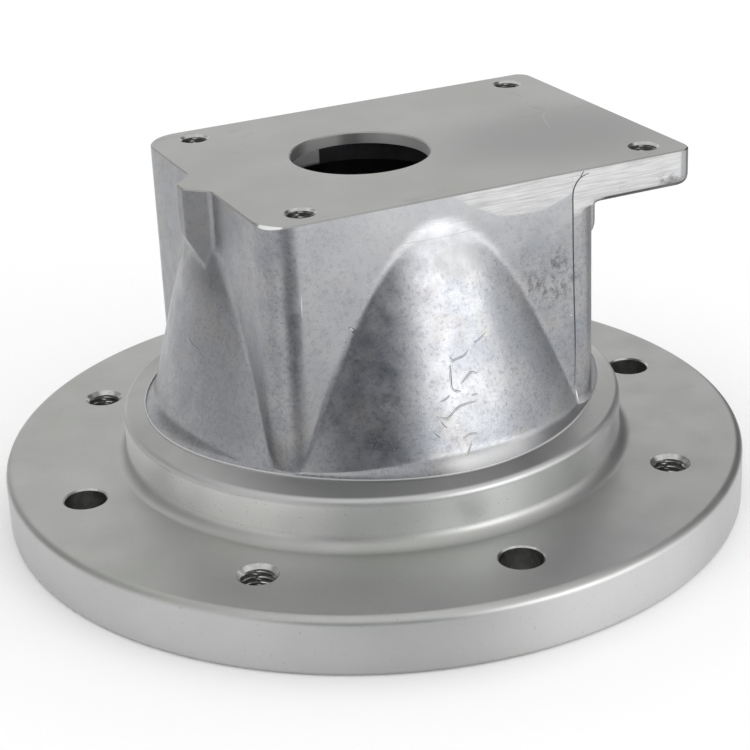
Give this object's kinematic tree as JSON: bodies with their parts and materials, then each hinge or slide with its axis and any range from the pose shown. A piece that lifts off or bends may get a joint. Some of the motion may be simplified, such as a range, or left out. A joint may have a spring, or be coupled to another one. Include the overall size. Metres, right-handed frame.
{
  "type": "pump bell housing",
  "caption": "Cast aluminium bell housing that bolts a hydraulic gear pump to a flanged electric motor, round motor flange below, overhanging rectangular pump face above.",
  "frame": {"origin": "centre of the motor flange's bottom face, on the shaft axis", "axes": "+Z along the shaft from the motor to the pump, +X along the long side of the pump face towards its overhang, +Y across the pump face, away from the side that the picture shows"},
  "size_m": [0.2, 0.2, 0.095],
  "materials": {
    "cast_aluminium": "die cast and machined, satin"
  },
  "bodies": {
    "root": {"bell_housing": "cast_aluminium"}
  },
  "joints": []
}
